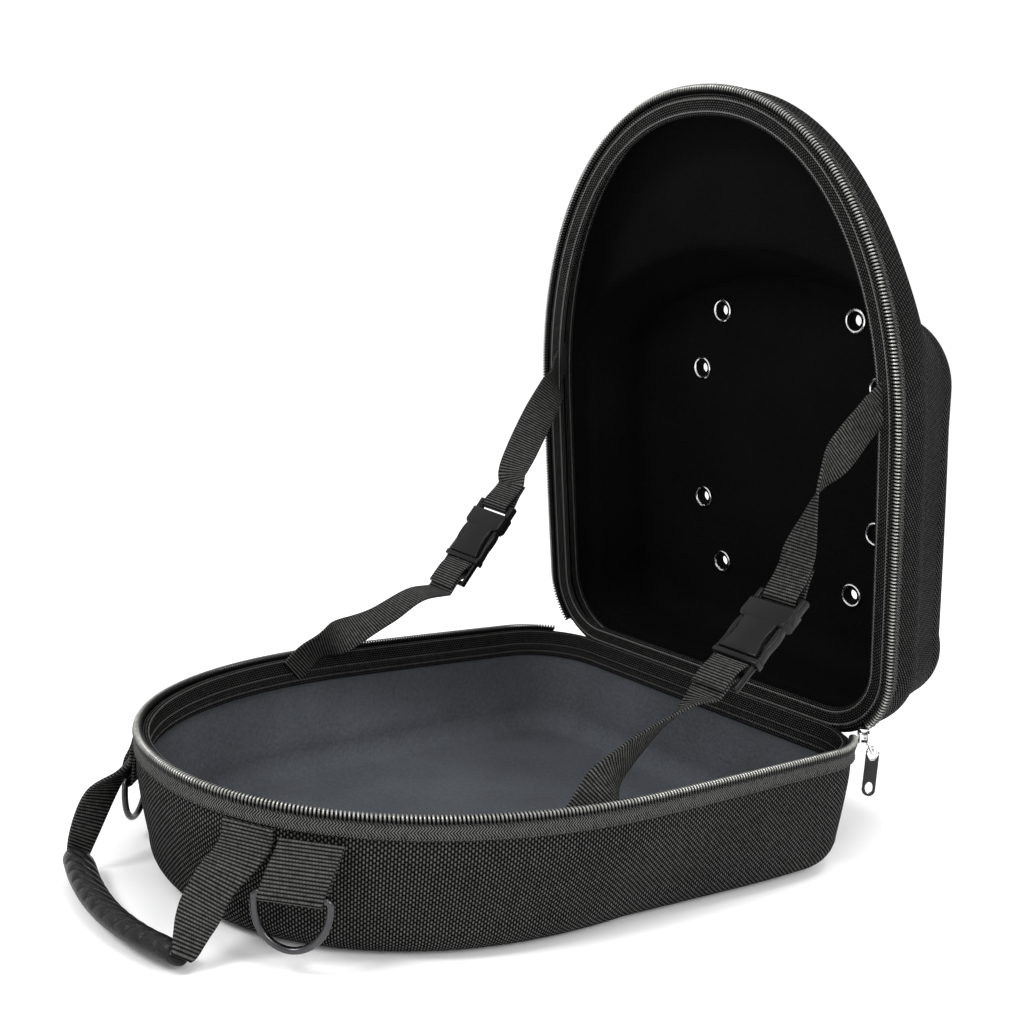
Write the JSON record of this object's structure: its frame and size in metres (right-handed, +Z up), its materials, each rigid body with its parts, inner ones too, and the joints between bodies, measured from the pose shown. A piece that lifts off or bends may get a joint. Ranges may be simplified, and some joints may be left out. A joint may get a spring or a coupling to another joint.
{
  "type": "hat travel case",
  "caption": "Open moulded hat travel case with a cloth-hinged lid, zip rim, buckled stay straps, carry handle and D-rings.",
  "frame": {"origin": "on the floor under the middle of the case's length, midway between its sides", "axes": "+Z up, +Y toward the hinge, +X toward the side with the zip slider"},
  "size_m": [0.2764, 0.4475, 0.4021],
  "materials": {
    "shell_cloth": "coarse woven cloth over a moulded shell",
    "lining": "brushed cloth",
    "tape": "herringbone tape",
    "zip_teeth": "coil",
    "webbing": "ribbed webbing",
    "buckle_plastic": "moulded satin",
    "bright_metal": "plated",
    "dark_metal": "gunmetal plating",
    "pull_metal": "black paint, worn bright at the edges",
    "grip_skin": "semi-gloss coated cloth with creases"
  },
  "bodies": {
    "case": {"base_binding": "tape", "base_inner_tape": "tape", "base_lining": "lining", "base_shell": "shell_cloth", "base_zip_tape": "tape", "base_zip_teeth": "zip_teeth", "buckle_prong_far": "buckle_plastic", "buckle_prong_near": "buckle_plastic", "buckle_socket_far": "buckle_plastic", "buckle_socket_near": "buckle_plastic", "handle_grip": "grip_skin", "handle_webbing_far": "webbing", "handle_webbing_near": "webbing", "hinge_cloth_inner": "tape", "hinge_cloth_outer": "shell_cloth", "lid_binding": "tape", "lid_eyelet_1": "bright_metal", "lid_eyelet_2": "bright_metal", "lid_eyelet_3": "bright_metal", "lid_eyelet_4": "bright_metal", "lid_eyelet_5": "bright_metal", "lid_eyelet_6": "bright_metal", "lid_eyelet_7": "bright_metal", "lid_eyelet_8": "bright_metal", "lid_inner_tape": "tape", "lid_lining": "lining", "lid_shell": "shell_cloth", "lid_zip_tape": "tape", "lid_zip_teeth": "zip_teeth", "ring_tab_far": "webbing", "ring_tab_near": "webbing", "stay_strap_lower_far": "webbing", "stay_strap_lower_near": "webbing", "stay_strap_upper_far": "webbing", "stay_strap_upper_near": "webbing", "zip_slider": "bright_metal"},
    "zip_pull": {"zip_pull": "pull_metal"},
    "d_ring_near": {"d_ring_near": "dark_metal"},
    "d_ring_far": {"d_ring_far": "dark_metal"}
  },
  "joints": [
    {"name": "zip_pull_swing", "type": "hinge", "parent": "case", "child": "zip_pull", "pos_m": [0.12978, 0.16511, 0.0631], "axis": [0.7071, -0.7071, 0], "range_deg": [0, 90]},
    {"name": "d_ring_near_swing", "type": "hinge", "parent": "case", "child": "d_ring_near", "pos_m": [0.08575, -0.15008, 0.03623], "axis": [-0.7345, -0.6787, 0], "range_deg": [0, 100]},
    {"name": "d_ring_far_swing", "type": "hinge", "parent": "case", "child": "d_ring_far", "pos_m": [-0.08107, -0.14568, 0.03437], "axis": [-0.7345, 0.6787, 0], "range_deg": [0, 100]}
  ]
}
